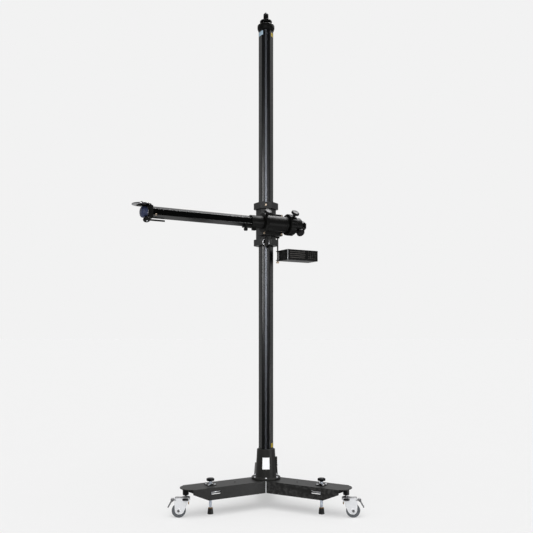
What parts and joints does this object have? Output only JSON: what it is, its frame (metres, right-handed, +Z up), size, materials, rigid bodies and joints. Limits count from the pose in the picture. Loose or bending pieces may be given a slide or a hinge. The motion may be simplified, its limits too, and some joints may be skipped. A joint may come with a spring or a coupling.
{
  "type": "studio column stand",
  "caption": "Wheeled three-legged studio column stand with a toothed column, sliding carriage, level cross arm with camera plate, and a small tray.",
  "frame": {"origin": "on the column's axis at floor level", "axes": "+Z up along the column; the front legs point to -X and +X with -Y the front; the third leg points to +Y"},
  "size_m": [1.1954, 1.1268, 2.806],
  "materials": {
    "black_powder_coat": "fine textured powder coat",
    "black_casting": "textured casting paint",
    "black_anodised": "satin black anodised extrusion",
    "rack_steel": "dark machined steel",
    "zinc": "bright zinc plated",
    "black_plastic": "moulded",
    "grey_tyre": "smooth grey rubber",
    "pale_hub": "moulded",
    "black_rubber": "matt",
    "slide_plastic": "low friction",
    "blue_disc": "satin",
    "tan_screw": "plated"
  },
  "bodies": {
    "base": {"leg_front_left": "black_powder_coat", "leg_front_right": "black_powder_coat", "leg_rear": "black_powder_coat", "hub_plate": "black_powder_coat", "column_socket": "black_casting", "socket_screws": "zinc", "levelling_bushes": "black_anodised", "leg_screws": "zinc", "castor_sockets": "black_plastic"},
    "column": {"column_tube": "black_anodised", "column_rack": "rack_steel", "column_plug": "black_anodised", "top_cap": "black_casting", "top_spigot": "black_casting"},
    "carriage": {"carriage_body": "black_casting", "carriage_collars": "black_casting", "guide_pads": "slide_plastic", "housing_bracket": "black_casting", "arm_housing": "black_casting", "housing_flange": "black_casting", "carriage_screws": "tan_screw", "tray_hanger": "black_powder_coat"},
    "carriage_lock": {"carriage_lock_knob": "black_plastic"},
    "roll_clamp": {"roll_clamp_knob": "black_plastic"},
    "guide": {"arm_guide": "black_casting", "index_ring": "black_casting"},
    "slide_clamp": {"slide_clamp_knob": "black_plastic"},
    "guide_clamp": {"guide_clamp_knob": "black_plastic"},
    "arm": {"arm_tube": "black_anodised", "arm_rear_cap": "black_plastic", "arm_end_block": "black_casting", "arm_end_disc": "blue_disc"},
    "stop_clamp": {"arm_stop_knob": "black_plastic"},
    "camera_platform": {"camera_plate": "black_anodised"},
    "camera_bolt": {"camera_screw": "zinc"},
    "lever": {"plate_lever": "black_plastic"},
    "head_clamp": {"head_clamp_knob": "black_plastic"},
    "tray_body": {"tray": "black_powder_coat"},
    "tray_clamp": {"tray_knob": "black_plastic"},
    "castor_front_left": {"castor_fork_front_left": "zinc"},
    "wheel_front_left": {"wheel_hub_front_left": "pale_hub", "tyre_front_left": "grey_tyre"},
    "pedal_front_left": {"brake_pedal_front_left": "zinc"},
    "foot_front_left": {"foot_pad_front_left": "black_rubber"},
    "screw_front_left": {"levelling_screw_front_left": "zinc", "levelling_knob_front_left": "black_plastic"},
    "castor_front_right": {"castor_fork_front_right": "zinc"},
    "wheel_front_right": {"wheel_hub_front_right": "pale_hub", "tyre_front_right": "grey_tyre"},
    "pedal_front_right": {"brake_pedal_front_right": "zinc"},
    "foot_front_right": {"foot_pad_front_right": "black_rubber"},
    "screw_front_right": {"levelling_screw_front_right": "zinc", "levelling_knob_front_right": "black_plastic"},
    "castor_rear": {"castor_fork_rear": "zinc"},
    "wheel_rear": {"wheel_hub_rear": "pale_hub", "tyre_rear": "grey_tyre"},
    "pedal_rear": {"brake_pedal_rear": "zinc"},
    "foot_rear": {"foot_pad_rear": "black_rubber"},
    "screw_rear": {"levelling_screw_rear": "zinc", "levelling_knob_rear": "black_plastic"}
  },
  "joints": [
    {"name": "column_turn", "type": "hinge", "parent": "base", "child": "column", "pos_m": [0, 0, 0.3], "axis": [0, 0, 1], "range_deg": [-180, 180]},
    {"name": "carriage_slide", "type": "slide", "parent": "column", "child": "carriage", "axis": [0, 0, 1], "range_m": [-1.14, 0.96]},
    {"name": "carriage_lock_turn", "type": "hinge", "parent": "carriage", "child": "carriage_lock", "pos_m": [0, -0.06, 1.493], "axis": [0, -1, 0], "range_deg": [-90, 90]},
    {"name": "arm_roll", "type": "hinge", "parent": "carriage", "child": "guide", "pos_m": [0.055, -0.09526, 1.59], "axis": [-0.866, -0.5, 0], "range_deg": [-90, 90]},
    {"name": "roll_clamp_turn", "type": "hinge", "parent": "carriage", "child": "roll_clamp", "pos_m": [0.00426, -0.16538, 1.62536], "axis": [0.3536, -0.6124, 0.7071], "range_deg": [-90, 180]},
    {"name": "slide_clamp_turn", "type": "hinge", "parent": "guide", "child": "slide_clamp", "pos_m": [0.15502, -0.0865, 1.63243], "axis": [0.3536, -0.6124, 0.7071], "range_deg": [-90, 180]},
    {"name": "guide_clamp_turn", "type": "hinge", "parent": "guide", "child": "guide_clamp", "pos_m": [0.18625, -0.05459, 1.55959], "axis": [0.3536, -0.6124, -0.7071], "range_deg": [-90, 180]},
    {"name": "stop_clamp_turn", "type": "hinge", "parent": "guide", "child": "stop_clamp", "pos_m": [-0.10955, -0.19026, 1.556], "axis": [0, 0, 1], "range_deg": [-180, 90]},
    {"name": "arm_slide", "type": "slide", "parent": "guide", "child": "arm", "axis": [-0.866, -0.5, 0], "range_m": [-0.45, 0.02]},
    {"name": "plate_turn", "type": "hinge", "parent": "arm", "child": "camera_platform", "pos_m": [-0.61963, -0.48476, 1.625], "axis": [0, 0, 1], "continuous": true},
    {"name": "camera_bolt_turn", "type": "hinge", "parent": "camera_platform", "child": "camera_bolt", "pos_m": [-0.61963, -0.48476, 1.625], "axis": [0, 0, 1], "continuous": true},
    {"name": "lever_swing", "type": "hinge", "parent": "arm", "child": "lever", "pos_m": [-0.58932, -0.46726, 1.55], "axis": [0, 0, 1], "range_deg": [-60, 60]},
    {"name": "head_clamp_turn", "type": "hinge", "parent": "arm", "child": "head_clamp", "pos_m": [-0.59641, -0.49099, 1.56055], "axis": [0.25, -0.433, -0.866], "range_deg": [-90, 180]},
    {"name": "tray_swing", "type": "hinge", "parent": "carriage", "child": "tray_body", "pos_m": [0.06706, 0.02486, 1.396], "axis": [0, 0, 1], "range_deg": [-35, 90]},
    {"name": "tray_clamp_turn", "type": "hinge", "parent": "carriage", "child": "tray_clamp", "pos_m": [0.06706, 0.02486, 1.385], "axis": [0, 0, 1], "range_deg": [-180, 90]},
    {"name": "castor_swivel_front_left", "type": "hinge", "parent": "base", "child": "castor_front_left", "pos_m": [-0.42782, -0.247, 0.11], "axis": [0, 0, 1], "continuous": true},
    {"name": "wheel_spin_front_left", "type": "hinge", "parent": "castor_front_left", "child": "wheel_front_left", "pos_m": [-0.46482, -0.247, 0.0375], "axis": [0, -1, 0], "continuous": true},
    {"name": "pedal_press_front_left", "type": "hinge", "parent": "castor_front_left", "child": "pedal_front_left", "pos_m": [-0.47982, -0.247, 0.096], "axis": [0, -1, 0], "range_deg": [0, 14]},
    {"name": "foot_lift_front_left", "type": "slide", "parent": "base", "child": "foot_front_left", "axis": [0, 0, 1], "range_m": [-0.006, 0.006]},
    {"name": "screw_turn_front_left", "type": "hinge", "parent": "foot_front_left", "child": "screw_front_left", "pos_m": [-0.30224, -0.1745, 0.15], "axis": [0, 0, 1], "range_deg": [-1080, 1080]},
    {"name": "castor_swivel_front_right", "type": "hinge", "parent": "base", "child": "castor_front_right", "pos_m": [0.42782, -0.247, 0.11], "axis": [0, 0, 1], "continuous": true},
    {"name": "wheel_spin_front_right", "type": "hinge", "parent": "castor_front_right", "child": "wheel_front_right", "pos_m": [0.46482, -0.247, 0.0375], "axis": [0, 1, 0], "continuous": true},
    {"name": "pedal_press_front_right", "type": "hinge", "parent": "castor_front_right", "child": "pedal_front_right", "pos_m": [0.47982, -0.247, 0.096], "axis": [0, 1, 0], "range_deg": [0, 14]},
    {"name": "foot_lift_front_right", "type": "slide", "parent": "base", "child": "foot_front_right", "axis": [0, 0, 1], "range_m": [-0.006, 0.006]},
    {"name": "screw_turn_front_right", "type": "hinge", "parent": "foot_front_right", "child": "screw_front_right", "pos_m": [0.30224, -0.1745, 0.15], "axis": [0, 0, 1], "range_deg": [-1080, 1080]},
    {"name": "castor_swivel_rear", "type": "hinge", "parent": "base", "child": "castor_rear", "pos_m": [0, 0.494, 0.11], "axis": [0, 0, 1], "continuous": true},
    {"name": "wheel_spin_rear", "type": "hinge", "parent": "castor_rear", "child": "wheel_rear", "pos_m": [0, 0.531, 0.0375], "axis": [-1, 0, 0], "continuous": true},
    {"name": "pedal_press_rear", "type": "hinge", "parent": "castor_rear", "child": "pedal_rear", "pos_m": [0, 0.546, 0.096], "axis": [-1, 0, 0], "range_deg": [0, 14]},
    {"name": "foot_lift_rear", "type": "slide", "parent": "base", "child": "foot_rear", "axis": [0, 0, 1], "range_m": [-0.006, 0.006]},
    {"name": "screw_turn_rear", "type": "hinge", "parent": "foot_rear", "child": "screw_rear", "pos_m": [0, 0.349, 0.15], "axis": [0, 0, 1], "range_deg": [-1080, 1080]}
  ],
  "couplings": [
    {"joint": "screw_turn_front_left", "follows": "foot_lift_front_left", "rad_per_m": 3141.6},
    {"joint": "screw_turn_front_right", "follows": "foot_lift_front_right", "rad_per_m": 3141.6},
    {"joint": "screw_turn_rear", "follows": "foot_lift_rear", "rad_per_m": 3141.6}
  ]
}
